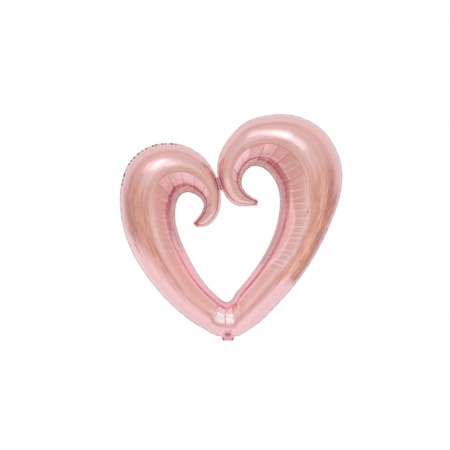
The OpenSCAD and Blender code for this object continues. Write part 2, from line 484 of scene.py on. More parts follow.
def mesh_object(name, points, faces):
    """A smooth object in the scene, from points in metres."""
    mesh = bpy.data.meshes.new(name)
    mesh.from_pydata(points, [], faces)
    mesh.shade_smooth()
    obj = bpy.data.objects.new(name, mesh)
    scene.collection.objects.link(obj)
    return obj


def two_layers(name, outside, inside, faces):
    """An object in metres from two grids of points in millimetres, the outside's points first."""
    points = np.concatenate([outside.reshape(-1, 3), inside.reshape(-1, 3)]) * MM
    return mesh_object(name, points.tolist(), faces)


def shell(name, outside, inside):
    """A closed thin shell between two grids of points."""
    index, shift = numbered(outside)
    a, b, c, d = cells(index)
    faces = [quads(a, d, c, b), quads(a, b, c, d) + shift]
    for line, turn in ((index[0], 1), (index[-1], -1), (index[:, 0], -1), (index[:, -1], 1)):
        line = line[::turn]
        faces.append(quads(line[:-1], line[1:], line[1:] + shift, line[:-1] + shift))
    return two_layers(name, outside, inside, np.concatenate(faces).tolist())


def write_mark(obj, name, values):
    """Stores three numbers for each point of one layer, the same on both layers."""
    attribute = obj.data.attributes.new(name, "FLOAT_VECTOR", "POINT")
    attribute.data.foreach_set("vector", np.tile(values.reshape(-1), 2).astype(np.float32))


def foil_skin(name, seed, side):
    """One panel's skin. side is 1 for the front, -1 for the back."""
    outside, marks = skin_points(GRID, seed)
    inside = outside - grid_normals(outside) * FILM
    edge = GRID.outer_margin + GRID.inner_margin > 0
    inside[:, edge, 1] = 0
    outside[:, edge, 1] = -FILM
    for layer in (outside, inside):
        layer[..., 1] *= side
        layer[..., 1] += MARGIN_SHIFT
    turn = 1 if side > 0 else -1
    skin = shell(name, outside[::turn], inside[::turn])
    for mark, values in marks.items():
        write_mark(skin, mark, values[::turn])
    return skin


front = foil_skin("front_foil_skin", FRONT_SEED, 1)
back = foil_skin("back_foil_skin", BACK_SEED, -1)

# ---- neck and tail
TAIL_HALF = 28.0
TAIL_END_HALF = 22.0
TAIL_LENGTH = 17.0
PORT_RADIUS = 7.0
PORT_HEIGHT = 9.5
# Each film's inside from the middle plane, over the valve and down the tail.
NECK_Y = 0.8
TAIL_Y = 0.06
# How far the neck's film climbs over the tube above its seal, and stands clear of its skin.
CLIMB = 6.0
CLEARANCE = 0.4
RINGS = 30
OUTLINE_POINTS = 168
# Radius of the small cap in the middle of the film that has no port.
CAP_RADIUS = 0.4


def neck_outline():
    """Evenly spaced points round the neck and tail as one film, from the tail's right corner."""
    arch = [
        (x, FOLD_GAP + NECK_LAP + pocket_edge(x) + CLIMB * math.cos(x / TAIL_HALF * math.pi / 2))
        for x in np.linspace(TAIL_HALF, -TAIL_HALF, 41)
    ]
    right = [(TAIL_END_HALF, -TAIL_LENGTH), (TAIL_HALF, 0)]
    left = [(-x, z) for x, z in reversed(right)]
    line = np.array([*right, *arch, *left, right[0]], float)
    run = running_length(line)
    places = np.linspace(0, run[-1], OUTLINE_POINTS + 1)[:-1]
    return np.stack([np.interp(places, run, line[:, k]) for k in (0, 1)], axis=1)


def tube_front(x, z, seed):
    """How far out the tube's skin stands at x and z near the neck, from its nearest points."""
    points = skin_points(GRID, seed)[0].reshape(-1, 3)
    points = points[(np.abs(points[:, 0]) < 50) & (points[:, 2] < 60)]
    away = np.hypot(x.reshape(-1, 1) - points[None, :, 0], z.reshape(-1, 1) - points[None, :, 2])
    near = np.argsort(away, axis=1)[:, :5]
    weight = 1 / (np.take_along_axis(away, near, 1) + 0.05) ** 2
    return ((-points[near, 1] * weight).sum(1) / weight.sum(1)).reshape(x.shape)


def neck_film(name, side, hole, tube_seed):
    """The film of the neck and tail on one side, as a ring of film round the port's centre."""
    # Both films draw the same gathers, so they lie together down the tail.
    rng = np.random.default_rng(NECK_SEED)
    edge = neck_outline()
    centre = np.array([0, PORT_HEIGHT])
    reach = edge - centre
    away = reach / np.linalg.norm(reach, axis=1, keepdims=True)
    start = away * (hole or CAP_RADIUS)
    share = np.linspace(0, 1, RINGS + 1)[:, None, None]
    flat = centre + start[None] * (1 - share) + reach[None] * share
    flat = np.concatenate([flat, flat[:, :1]], axis=1)
    x, z = flat[..., 0], flat[..., 1]
    from_port = np.hypot(x, z - PORT_HEIGHT)
    below = smooth(0, -TAIL_LENGTH, z)
    # Gathers fan down the tail, the free end curls a little, and the port has a pressed ring.
    fan = x / (1 - 0.012 * np.minimum(z, 0))
    gathers = sum(
        size * np.sin(fan * waves + rng.uniform(0, 6)) for size, waves in ((0.45, 0.52), (0.25, 1.15))
    )
    ring = 0.35 * np.exp(-(((from_port - PORT_RADIUS - 2.2) / 0.9) ** 2)) * bool(hole)
    flutter = gathers * (0.25 + below) * smooth(26, 14, z)
    curl = 1.6 * below**2
    # Above the seal the film is one with the tube's skin, so it follows it upwards.
    seal_line = FOLD_GAP + pocket_edge(x) + SEAL_WIDTH - 1
    climb = np.maximum(tube_front(x, z, tube_seed) + CLEARANCE - NECK_Y - FILM, 0)
    over_tube = smooth(0, 3, z - seal_line) * climb
    # The films stand apart over the valve, and lie together down the tail.
    apart = TAIL_Y + (NECK_Y - TAIL_Y) * smooth(-5, 1, z)
    depth = apart + FILM + ring + over_tube
    thickness = FILM * (1 - 0.85 * smooth(0, CLIMB * 0.7, z - seal_line))
    outside = np.stack([x, -(depth * side) + flutter * 0.6 + curl, z], axis=-1)
    inside = outside.copy()
    inside[..., 1] += thickness * side
    by_tube = smooth(-4, 1, z - seal_line)
    if side < 0:
        outside, inside, by_tube = outside[:, ::-1], inside[:, ::-1], by_tube[:, ::-1]
    film = closed_ring(name, outside, inside, open_middle=bool(hole))
    write_mark(film, "by_tube", np.repeat(by_tube[:, :-1], 3))
    return film


def closed_ring(name, outside, inside, open_middle):
    """A closed thin shell from two grids whose last column repeats the first."""
    outside, inside = outside[:, :-1], inside[:, :-1]
    index, shift = numbered(outside)
    index = np.concatenate([index, index[:, :1]], axis=1)
    a, b, c, d = cells(index)
    faces = [quads(d, c, b, a), quads(a, b, c, d) + shift]
    for line in (index[0][::-1], index[-1])[0 if open_middle else 1 :]:
        faces.append(quads(line[:-1], line[:-1] + shift, line[1:] + shift, line[1:]))
    middle = index[0][:-1]
    caps = [] if open_middle else [middle.tolist(), (middle + shift)[::-1].tolist()]
    return two_layers(name, outside, inside, np.concatenate(faces).tolist() + caps)


neck_front = neck_film("neck_tail_front_skin", 1, PORT_RADIUS, FRONT_SEED)
neck_back = neck_film("neck_tail_back_skin", -1, 0, BACK_SEED)

# ---- web and valve
# The stations between which the web joins the smaller and the larger hook.
WEB_SMALL = (3.0, 3 + 2 / 3)
WEB_LARGE = (LAST - 2.0, LAST - 2 - 2 / 3)
WEB_LAP = 2.2
WEB_HALF_DEPTH = FILM * 1.3
WEB_HOLLOW = 3


def web_skin():
    """The sealed web between the hooks, lapped a little over both margins and softly rippled."""
    share = np.linspace(0, 1, 49)[:, None]
    left = rib_at(np.interp(share[:, 0], (0, 1), WEB_SMALL))[:, :2]
    right = rib_at(np.interp(share[:, 0], (0, 1), WEB_LARGE))[:, :2]
    gap = right - left
    length = np.linalg.norm(gap, axis=1, keepdims=True)
    left = left - gap / length * WEB_LAP
    right = right + gap / length * WEB_LAP
    across = np.linspace(0, 1, 13)[None, :, None]
    flat = left[:, None] * (1 - across) + right[:, None] * across
    across = across[..., 0] + 0 * share
    # The web's ends are cut as shallow hollows between the hooks.
    hollow = 4 * across * (1 - across) * (2 * share - 1) ** 8 * np.sign(0.5 - share)
    flat[..., 1] += hollow * WEB_HOLLOW
    ripple = 0.5 * np.sin(share * 21 + across * 2) * np.sin(across * math.pi)
    outside = np.stack([flat[..., 0], ripple - WEB_HALF_DEPTH, flat[..., 1]], axis=-1)
    inside = outside.copy()
    inside[..., 1] += 2 * WEB_HALF_DEPTH
    skin = shell("hook_web_skin", outside[::-1], inside[::-1])
    write_mark(skin, "width", np.repeat(across[::-1], 3))
    return skin


VALVE_FILM = 0.28
# The outside of each film from the middle plane, where the films are sealed.
VALVE_Y = 0.3
# How much narrower each half is at the top, and how far the open channel bows out.
VALVE_TAPER = 3
VALVE_BOW = 1.6


def valve_film(name, side):
    """One soft valve film: sealed flat down both edges and bowed a little between them."""
    low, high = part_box("valve_film_front")
    half, bottom, top = high.x / MM, low.z / MM, high.z / MM
    share = np.linspace(0, 1, 71)[:, None]
    across = np.linspace(-1, 1, 25)[None]
    z = bottom + (top - bottom) * share + 0 * across
    x = (half - VALVE_TAPER * share) * across
    channel = smooth(0.78, 0.45, np.abs(across)) * smooth(0.25, 0.5, share)
    bow = VALVE_BOW * channel * (1 + 0.3 * np.sin(share * 17 + across * 2)) + 0.02
    outside = np.stack([x, -side * (bow + VALVE_Y), z], axis=-1)
    inside = outside.copy()
    inside[..., 1] += side * VALVE_FILM
    if side > 0:
        outside, inside = outside[:, ::-1], inside[:, ::-1]
    return shell(name, outside, inside)


web = web_skin()
valve_front = valve_film("valve_front_skin", 1)
valve_back = valve_film("valve_back_skin", -1)


# ---- materials
class Shading:
    """Short ways to add nodes to one tree, and the colour that is built up in it, tone by tone."""

    def __init__(self, tree):
        self.tree = tree
        self.color = None

    def add(self, kind, **inputs):
        """A new node with its named inputs set, or linked where the value is a socket."""
        made = self.tree.nodes.new("ShaderNode" + kind)
        for name, value in inputs.items():
            self.put(made.inputs[name.replace("_", " ")], value)
        return made

    def put(self, socket, value):
        if isinstance(value, bpy.types.NodeSocket):
            self.tree.links.new(value, socket)
        elif isinstance(value, tuple) and len(value) == 3 and socket.type == "RGBA":
            socket.default_value = (*value, 1)
        else:
            socket.default_value = value

    def math(self, operation, a, b=0.0):
        made = self.add("Math")
        made.operation = operation
        self.put(made.inputs[0], a)
        self.put(made.inputs[1], b)
        return made.outputs[0]

    def ease(self, value, low, high, start=0.0, end=1.0):
        """From start to end, smoothly, as the value goes from low to high."""
        made = self.add("MapRange", Value=value, From_Min=low, From_Max=high)
        self.put(made.inputs["To Min"], start)
        self.put(made.inputs["To Max"], end)
        made.interpolation_type = "SMOOTHSTEP"
        return made.outputs["Result"]

    def line(self, value, centre, half_width):
        """1 where the value is at the centre, and 0 from half a width away."""
        away = self.math("ABSOLUTE", self.minus(value, centre))
        return self.ease(away, 0.0, half_width, 1.0, 0.0)

    def between(self, value, start, full, fade, end):
        """0 to 1 as the value goes from start to full, and back to 0 from fade to end."""
        return self.times(self.ease(value, start, full), self.ease(value, end, fade))

    def times(self, *factors):
        total = factors[0]
        for factor in factors[1:]:
            total = self.math("MULTIPLY", total, factor)
        return total

    def plus(self, a, b):
        return self.math("ADD", a, b)

    def minus(self, a, b):
        return self.math("SUBTRACT", a, b)

    def rest(self, share, part=None):
        """What is left of 1 after a share, or after a part of it."""
        return self.minus(1.0, share if part is None else self.times(share, part))

    def over(self, below, factor, above):
        """The colour below, or as far as the factor says the one above."""
        made = self.add("Mix")
        made.data_type = "RGBA"
        self.put(made.inputs["Factor"], factor)
        self.put(made.inputs["A"], below)
        self.put(made.inputs["B"], above)
        return made.outputs["Result"]

    def lay(self, tone, *factors):
        """Lays a tone over the colour, as far as the factors' product says."""
        self.color = self.over(self.color, self.times(*factors), tone)

    def noise(self, place, scale, detail=3.0, roughness=0.5):
        settings = {"Scale": scale, "Detail": detail, "Roughness": roughness}
        return self.add("TexNoise", Vector=place, **settings).outputs["Fac"]

    def bump(self, height, strength, distance, normal=None):
        """A normal bumped by a height, on top of another normal if there is one."""
        made = self.add("Bump", Height=height, Strength=strength, Distance=distance)
        if normal:
            self.put(made.inputs["Normal"], normal)
        return made.outputs["Normal"]

    def ramp(self, value, tones):
        """The tones' colours at their places, with a straight change between neighbours."""
        made = self.add("ValToRGB", Fac=value)
        stops = made.color_ramp.elements
        while len(stops) < len(tones):
            stops.new(0.5)
        for stop, (at, *tone) in zip(stops, tones):
            stop.position = at
            stop.color = (*tone, 1)
        return made.outputs["Color"]

    def attribute(self, name):
        """The three numbers of a mark on the mesh."""
        made = self.add("Attribute")
        made.attribute_name = name
        return tuple(self.add("SeparateXYZ", Vector=made.outputs["Vector"]).outputs)

    def place(self, x, y):
        return self.add("CombineXYZ", X=x, Y=y, Z=0.0).outputs["Vector"]

    def on_object(self):
        """The place on the object, in metres."""
        return self.add("TexCoord").outputs["Object"]


PINK = (0.86, 0.545, 0.54)
PALE_STREAK_REFLECTION = (0.93, 0.65, 0.65)
BROWN_STREAK_REFLECTION = (0.56, 0.31, 0.28)
AMBER_REFLECTION = (0.66, 0.28, 0.13)
UMBER_REFLECTION = (0.44, 0.19, 0.17)
DARK_FLECK_REFLECTION = (0.30, 0.12, 0.10)
LIGHT_FLECK_REFLECTION = (0.90, 0.54, 0.34)
WEB_SHADE = (0.50, 0.19, 0.23)
HOOK_FACET_REFLECTION = (0.92, 0.62, 0.66)
HOOK_FACET_DARK_REFLECTION = (0.72, 0.39, 0.38)
ARM_FACET_REFLECTION = (0.67, 0.40, 0.38)
ARM_FACET_PALE_REFLECTION = (0.84, 0.57, 0.55)
CORNER_FACET_HIGHLIGHT = (0.99, 0.82, 0.87)
CORNER_WALL_REFLECTION = (1.0, 0.70, 0.70)
HOOK_CREASE_SHADE = (0.42, 0.20, 0.21)
ARM_CREASE_HIGHLIGHT = (0.95, 0.71, 0.70)
NECK_PAINTED_LIGHT = (0.97, 0.71, 0.74)
SEALED = (0.80, 0.67, 0.67)
SEALED_PINK = (0.83, 0.61, 0.61)
SEALED_DARK = (0.62, 0.45, 0.44)
CRIMP_SHADE = (0.16, 0.13, 0.13)
WEB_DEEP_SHADE = (0.30, 0.09, 0.13)
WEB_PINK = (0.88, 0.56, 0.60)
NECK_PINK = (0.89, 0.53, 0.57)
TAB_PINK = (0.82, 0.39, 0.45)
TAB_CORNER = (0.34, 0.17, 0.18)
SPOT = (0.62, 0.22, 0.30)
VALVE_DEEP = (0.50, 0.16, 0.22)
VALVE_LIGHT = (0.64, 0.24, 0.29)
# The dark spot round the port: half its width, half its height and its middle's z, in metres.
SPOT_HALF_WIDTH = 0.0155
SPOT_HALF_HEIGHT = 0.0105
SPOT_HEIGHT = 0.009
# How far out the pattern lies, in shares across the tube, at the corner and on the larger arm.
CORNER_MOVE = 0.187
DRIFT = 0.14
# Where the facets lie across the tube: where they begin, are full, begin to fade and end.
HOOK_BAND = (0.585, 0.60, 0.83, 0.845)
ARM_BAND = (0.62, 0.64, 0.79, 0.81)
# Least and most roughness of the film, and how much rougher it is where it is dull.
FOIL_ROUGHNESS = (0.17, 0.27)
SEALED_ROUGHNESS = (0.3, 0.42)
DULL_ROUGHNESS = 0.38
SEALED_METALLIC = 0.65
# Painted reflections and shade across the tube, over the foil's pink: a place, from the outer edge at
# 0 to the inner edge at 1, and its colour.
LOBE_REFLECTION_TONES = [
    (0.00, 0.78, 0.59, 0.57), (0.07, 0.78, 0.52, 0.50), (0.12, 0.87, 0.55, 0.53),
    (0.165, 0.86, 0.54, 0.52), (0.185, 0.75, 0.46, 0.43), (0.21, 0.81, 0.50, 0.48),
    (0.26, 0.82, 0.52, 0.50), (0.31, 0.76, 0.49, 0.47), (0.37, 0.82, 0.58, 0.59),
    (0.43, 0.86, 0.61, 0.61), (0.48, 0.79, 0.52, 0.51), (0.53, 0.75, 0.45, 0.42),
    (0.565, 0.80, 0.50, 0.47), (0.585, 0.62, 0.36, 0.33), (0.61, 0.72, 0.41, 0.38),
    (0.75, 0.76, 0.43, 0.42), (0.82, 0.66, 0.33, 0.34), (0.845, 0.52, 0.26, 0.27),
    (0.86, 0.74, 0.39, 0.39), (0.90, 0.72, 0.34, 0.35), (0.95, 0.52, 0.25, 0.25),
    (1.00, 0.52, 0.30, 0.29),
]
LEFT_ARM_REFLECTION_TONES = [
    (0.00, 0.74, 0.56, 0.54), (0.065, 0.80, 0.52, 0.50), (0.11, 0.68, 0.39, 0.37),
    (0.15, 0.57, 0.31, 0.30), (0.21, 0.61, 0.33, 0.31), (0.28, 0.71, 0.38, 0.34),
    (0.345, 0.82, 0.46, 0.41), (0.39, 0.70, 0.40, 0.36), (0.43, 0.75, 0.39, 0.32),
    (0.485, 0.68, 0.35, 0.28), (0.53, 0.76, 0.43, 0.36), (0.57, 0.87, 0.55, 0.52),
    (0.62, 0.90, 0.61, 0.61), (0.70, 0.80, 0.48, 0.48), (0.79, 0.82, 0.45, 0.47),
    (0.835, 1.0, 0.72, 0.74), (0.865, 0.94, 0.60, 0.62), (0.90, 0.76, 0.41, 0.40),
    (0.94, 0.58, 0.27, 0.27), (1.00, 0.66, 0.40, 0.39),
]
RIGHT_ARM_REFLECTION_TONES = [
    (0.00, 0.72, 0.52, 0.50), (0.06, 0.74, 0.46, 0.44), (0.12, 0.73, 0.43, 0.39),
    (0.17, 0.62, 0.30, 0.27), (0.22, 0.62, 0.29, 0.26), (0.26, 0.74, 0.42, 0.39),
    (0.30, 0.87, 0.56, 0.54), (0.34, 0.86, 0.53, 0.49), (0.39, 0.72, 0.39, 0.34),
    (0.43, 0.82, 0.43, 0.32), (0.48, 0.76, 0.40, 0.32), (0.53, 0.78, 0.43, 0.37),
    (0.57, 0.88, 0.56, 0.53), (0.61, 0.90, 0.62, 0.62), (0.66, 0.82, 0.55, 0.53),
    (0.72, 0.76, 0.46, 0.45), (0.79, 0.76, 0.42, 0.43), (0.835, 1.0, 0.72, 0.74),
    (0.865, 0.94, 0.60, 0.62), (0.90, 0.80, 0.46, 0.46), (0.94, 0.58, 0.29, 0.27),
    (1.00, 0.66, 0.40, 0.39),
]
BOTTOM_REFLECTION_TONES = [
    (0.00, 0.82, 0.62, 0.64), (0.06, 0.78, 0.54, 0.56), (0.12, 0.83, 0.53, 0.56),
    (0.20, 0.85, 0.55, 0.58), (0.31, 0.90, 0.59, 0.61), (0.36, 0.83, 0.53, 0.55),
    (0.395, 0.80, 0.50, 0.52), (0.43, 0.75, 0.42, 0.41), (0.48, 0.75, 0.42, 0.39),
    (0.53, 0.86, 0.54, 0.50), (0.58, 0.89, 0.57, 0.53), (0.68, 0.84, 0.50, 0.48),
    (0.75, 0.86, 0.49, 0.50), (0.80, 0.95, 0.58, 0.61), (0.845, 0.99, 0.60, 0.63),
    (0.89, 0.94, 0.52, 0.55), (0.94, 0.88, 0.46, 0.50), (1.00, 0.86, 0.54, 0.58),
]


def foil_finish(s, shader, sealed=False, dull=0.0):
    """The film's mirror finish: slow haze, soft crinkles and a fine grain."""
    place = s.on_object()
    s.put(shader.inputs["Base Color"], s.color)
    shader.inputs["Metallic"].default_value = 1.0
    haze = s.noise(place, 26.0, 4.0, 0.6)
    haze = s.ease(haze, 0.2, 0.8, *(SEALED_ROUGHNESS if sealed else FOIL_ROUGHNESS))
    rough = s.plus(haze, s.times(dull, DULL_ROUGHNESS))
    s.put(shader.inputs["Roughness"], rough)
    normal = s.bump(s.noise(place, 70.0, 3.0, 0.55), 0.25, 0.0012)
    normal = s.bump(s.noise(place, 900.0, 2.0, 0.6), 0.12, 0.0002, normal)
    if sealed:
        # The heated jaws leave rows of small pressed dots.
        dots = s.add("TexVoronoi", Vector=place, Scale=620.0, Randomness=0.0)
        normal = s.bump(dots.outputs["Distance"], 0.5, 0.0004, normal)
    s.put(shader.inputs["Normal"], normal)


def new_material(name):
    material = bpy.data.materials.new(name)
    material.use_nodes = True
    return material, Shading(material.node_tree), material.node_tree.nodes["Principled BSDF"]


def foil_material():
    """Metallised film over the tube, with painted reflections and shade in bands that run along it,
    and pleats across it.
    """
    material, s, shader = new_material("rose_gold_foil")
    along, across, curl = s.attribute("tube")
    cell, pitch, seen = s.attribute("pleat")
    arm_share, bottom_share, left = s.attribute("zone")
    corner, amber_reflection, drift = s.attribute("spot")
    flat_arm = s.rest(curl)
    # Round the corner, and on the larger side's arm, the pattern lies further out.
    drift = s.times(drift, s.between(across, 0.05, 0.30, 0.70, 0.92), DRIFT)
    drifted_across = s.plus(across, drift)
    moved = s.times(corner, s.between(across, 0.12, 0.40, 0.64, 0.84), CORNER_MOVE)
    band = s.plus(drifted_across, moved)
    ring = s.times(corner, s.between(across, 0.12, 0.40, 0.44, 0.56), CORNER_MOVE)

    # Bands of painted reflection and shade along the tube, their edges a little uneven.
    streak = s.noise(s.place(s.times(along, 3.5), s.times(across, 9.0)), 1.0, 4.0, 0.6)
    thread = s.noise(s.place(s.times(along, 8.0), s.times(across, 55.0)), 1.0, 3.0, 0.6)
    jag = s.noise(s.place(s.times(along, 9.0), s.times(across, 16.0)), 1.0, 3.0, 0.6)
    ragged = s.times(s.minus(jag, 0.5), 1.6)
    arm_zone = s.plus(arm_share, bottom_share)
    # The arms' streaks reach furthest down along the crest of the tube.
    reach = s.plus(0.14, s.times(s.line(across, 0.42, 0.24), 0.46))
    reach = s.plus(reach, s.times(ragged, 0.45))
    bottom = s.ease(s.minus(bottom_share, reach), -0.16, 0.16)
    outer_half = s.ease(across, 0.5, 0.3)
    shift = s.times(s.minus(jag, 0.5), s.plus(0.03, s.times(arm_zone, outer_half, 0.30)))
    shift = s.plus(shift, s.times(s.minus(streak, 0.5), 0.05))
    shift = s.times(shift, s.between(across, 0.0, 0.08, 0.5, 0.62))
    place = s.plus(s.plus(drifted_across, ring), shift)
    arm = s.over(s.ramp(place, RIGHT_ARM_REFLECTION_TONES), left, s.ramp(place, LEFT_ARM_REFLECTION_TONES))
    s.color = s.ramp(place, LOBE_REFLECTION_TONES)
    s.lay(arm, arm_zone)
    s.lay(s.ramp(place, BOTTOM_REFLECTION_TONES), bottom)

    # Painted reflection streaks drawn out along the tube, strongest on the arms.
    crest = s.between(across, 0.10, 0.16, 0.54, 0.60)
    force = s.times(crest, s.plus(0.3, s.times(arm_zone, 0.7)))
    force = s.times(force, s.rest(bottom, 0.6))
    s.lay(BROWN_STREAK_REFLECTION, s.ease(thread, 0.53, 0.60), force, 0.55)
    s.lay(PALE_STREAK_REFLECTION, s.ease(thread, 0.46, 0.38), force, 0.5)
    # Painted brown reflections by the outer seam of the larger side's arm, and orange ones in places.
    slipped = s.plus(across, s.times(ragged, 0.10))
    dark = s.times(s.line(slipped, 0.10, 0.17), s.ease(s.plus(amber_reflection, s.times(ragged, 0.5)), 0.2, 0.9))
    s.lay(UMBER_REFLECTION, dark, s.ease(across, 0.0, 0.05), 0.9)
    painted_orange = s.times(s.line(slipped, 0.19, 0.12), s.ease(s.plus(amber_reflection, ragged), 0.55, 1.0))
    s.lay(AMBER_REFLECTION, painted_orange, s.ease(thread, 0.38, 0.52), 0.8)
    # Painted small broken reflections: strongest there, weaker on the rest of the arms and the hooks.
    fleck = s.noise(s.place(s.times(along, 20.0), s.times(across, 30.0)), 1.0, 4.0, 0.7)
    on_hook = s.times(curl, s.line(across, 0.48, 0.14), s.rest(arm_zone))
    flecked = s.times(s.line(slipped, 0.20, 0.20), amber_reflection)
    flecked = s.math("MAXIMUM", flecked, s.times(s.math("MAXIMUM", arm_share, on_hook), crest, 0.45))
    s.lay(DARK_FLECK_REFLECTION, s.ease(fleck, 0.46, 0.36), flecked, 0.8)
    s.lay(LIGHT_FLECK_REFLECTION, s.ease(fleck, 0.54, 0.64), flecked, 0.8)

    # Where the dome meets the neck each mirrors the other, so both are painted paler there to hide
    # the dark reflection, and are rougher.
    by_neck, _, _ = s.attribute("neck")
    s.lay(NECK_PAINTED_LIGHT, by_neck)

    # The facets between the creases, with painted reflections: broad and pale round the hooks, narrow
    # and tan on the arms.
    tone = s.add("TexWhiteNoise", Vector=s.place(s.math("FLOOR", cell), 0.0)).outputs["Value"]
    in_corner = s.times(s.ease(corner, 0.35, 0.65), s.ease(band, *HOOK_BAND[:2]))
    in_corner = s.times(in_corner, s.ease(across, 0.69, 0.63))
    hooked = s.times(curl, s.rest(bottom))
    hook_band = s.times(s.between(band, *HOOK_BAND), hooked)
    arm_band = s.times(s.between(band, *ARM_BAND), flat_arm)
    busy = s.rest(bottom, 0.85)
    arm_band = s.times(arm_band, busy, s.ease(left, 0.0, 1.0, 1.0, 0.45))
    facet = s.over(HOOK_FACET_DARK_REFLECTION, s.times(s.ease(band, 0.82, 0.70), tone), HOOK_FACET_REFLECTION)
    s.lay(facet, hook_band, 0.85)
    arm_facet = s.over(ARM_FACET_REFLECTION, s.times(amber_reflection, 0.6), ARM_FACET_PALE_REFLECTION)
    s.lay(arm_facet, arm_band, s.ease(tone, 0.0, 1.0, 0.35, 0.9))
    # Painted reflections lighten the corner's wall and its two facets.
    wall = s.times(s.ease(corner, 0.2, 0.8), s.between(across, 0.62, 0.66, 0.80, 0.84), 0.7)
    s.lay(CORNER_WALL_REFLECTION, wall)
    s.lay(CORNER_FACET_HIGHLIGHT, in_corner)

    # Crease lines between the pleats: painted highlights on the arms, painted shade round the hooks
    # and the corner.
    away = s.times(s.math("PINGPONG", cell, 0.5), pitch)
    crease = s.times(s.ease(away, 0.0008, 0.0036, 1.0, 0.0), seen)
    light = s.times(crease, flat_arm, s.ease(band, 0.85, 0.80), s.ease(left, 0.0, 1.0, 0.9, 0.5))
    s.lay(ARM_CREASE_HIGHLIGHT, light, busy)
    dark = s.math("MAXIMUM", hooked, s.times(corner, s.ease(across, 0.80, 0.66)))
    s.lay(HOOK_CREASE_SHADE, crease, dark, 0.8)
    foil_finish(s, shader, dull=by_neck)
    return material


def sealed_material():
    """The flat sealed margin, greyer and duller, with painted shade in the crimps along the upper
    small lobe.
    """
    material, s, shader = new_material("rose_gold_foil_sealed")
    place = s.on_object()
    run, ruffle, joined = s.attribute("seam")
    _, across, curl = s.attribute("tube")
    inner = s.ease(across, 0.4, 0.6)
    s.color = s.over(SEALED, s.ease(s.noise(place, 60.0), 0.4, 0.65), SEALED_PINK)
    s.lay(SEALED_DARK, inner, curl)
    s.lay(WEB_PINK, joined)
    # Painted shade in the folds between the crimps of the ruffled margin.
    uneven = s.ease(s.noise(s.place(s.times(run, 30.0), 0.0), 1.0, 2.0), 0.2, 0.8, -0.5, 0.5)
    gap = s.math("PINGPONG", s.plus(s.times(run, 45.0), uneven), 0.5)
    s.lay(CRIMP_SHADE, s.ease(gap, 0.24, 0.18), s.ease(ruffle, 0.2, 0.6))
    foil_finish(s, shader, sealed=True)
    shader.inputs["Metallic"].default_value = SEALED_METALLIC
    return material


def neck_material():
    """The flat film of the neck and tail, darker in an oval round the port."""
    material, s, shader = new_material("rose_gold_foil_neck")
    place = s.on_object()
    x, y, z = s.add("SeparateXYZ", Vector=place).outputs
    s.color = s.over(NECK_PINK, s.ease(s.noise(place, 45.0), 0.45, 0.8, 0.0, 0.5), PINK)
    # Painted paler where the film climbs over the tube, to hide the dark reflection of the port
    # there.
    by_tube, _, _ = s.attribute("by_tube")
    s.lay(NECK_PAINTED_LIGHT, by_tube)
    wide = s.times(x, 1 / SPOT_HALF_WIDTH)
    high = s.times(s.minus(z, SPOT_HEIGHT), 1 / SPOT_HALF_HEIGHT)
    spot = s.ease(s.plus(s.times(wide, wide), s.times(high, high)), 1.25, 0.55)
    s.lay(SPOT, spot, s.ease(y, 0.0, -0.0004), 0.9)
    s.lay(TAB_PINK, s.ease(z, 0.002, -0.003))
    tab_corner = s.times(s.ease(s.math("ABSOLUTE", x), 0.012, 0.020), s.ease(z, -0.001, -0.009), 0.9)
    s.lay(TAB_CORNER, tab_corner)
    foil_finish(s, shader, dull=by_tube)
    return material


def web_material():
    """The web between the hooks: pink as the margins it laps, and painted deep rose shade along its
    middle, in the gap between the hooks' bulging walls.
    """
    material, s, shader = new_material("rose_gold_foil_web")
    place = s.on_object()
    width, _, _ = s.attribute("width")
    # Painted shade along the middle, where the hooks' walls bulge over the web.
    deep = s.over(WEB_DEEP_SHADE, s.ease(s.noise(place, 90.0), 0.45, 0.75), WEB_SHADE)
    middle = s.ease(s.math("ABSOLUTE", s.minus(width, 0.5)), 0.27, 0.40, 1.0, 0.0)
    s.color = s.over(WEB_PINK, middle, deep)
    foil_finish(s, shader, sealed=True)
    return material


def valve_material():
    """Thin soft plastic film, milky and slightly tinted by the foil round it."""
    material, s, shader = new_material("valve_plastic_film")
    place = s.on_object()
    cloud = s.noise(place, 120.0)
    s.put(shader.inputs["Base Color"], s.over(VALVE_DEEP, cloud, VALVE_LIGHT))
    s.put(shader.inputs["Roughness"], s.ease(cloud, 0.2, 0.8, 0.35, 0.55))
    shader.inputs["IOR"].default_value = 1.3
    s.put(shader.inputs["Normal"], s.bump(s.noise(place, 260.0, 2.0), 0.3, 0.0005))
    return material


foil = foil_material()
seal = sealed_material()
neck_foil = neck_material()
web_foil = web_material()
plastic = valve_material()


def paint(obj, *materials):
    """Puts materials on an object, in the order of its slots."""
    for material in materials:
        obj.data.materials.append(material)


def mark_seal(obj):
    """Gives the skin's margin the sealed foil, and a sharp fold where the margin meets the dome."""
    columns = GRID.columns
    count = (ROWS - 1) * (columns - 1)
    column = np.tile(np.arange(columns - 1), ROWS - 1)
    edge = (column < MARGIN_STEPS) | (column >= columns - 1 - MARGIN_STEPS)
    slots = np.ones(len(obj.data.polygons), int)
    slots[: 2 * count] = np.tile(edge, 2)
    obj.data.polygons.foreach_set("material_index", slots)
    edges = np.zeros(len(obj.data.edges) * 2, int)
    obj.data.edges.foreach_get("vertices", edges)
    column = edges.reshape(-1, 2) % columns
    fold_columns = 0, MARGIN_STEPS, columns - 1 - MARGIN_STEPS, columns - 1
    folded = (column[:, 0] == column[:, 1]) & np.isin(column[:, 0], fold_columns)
    sharp = obj.data.attributes.new("sharp_edge", "BOOLEAN", "EDGE")
    sharp.data.foreach_set("value", folded)


for skin in (front, back):
    paint(skin, foil, seal)
    mark_seal(skin)
for skin in (neck_front, neck_back):
    paint(skin, neck_foil)
paint(web, web_foil)
for film in (valve_front, valve_back):
    paint(film, plastic)

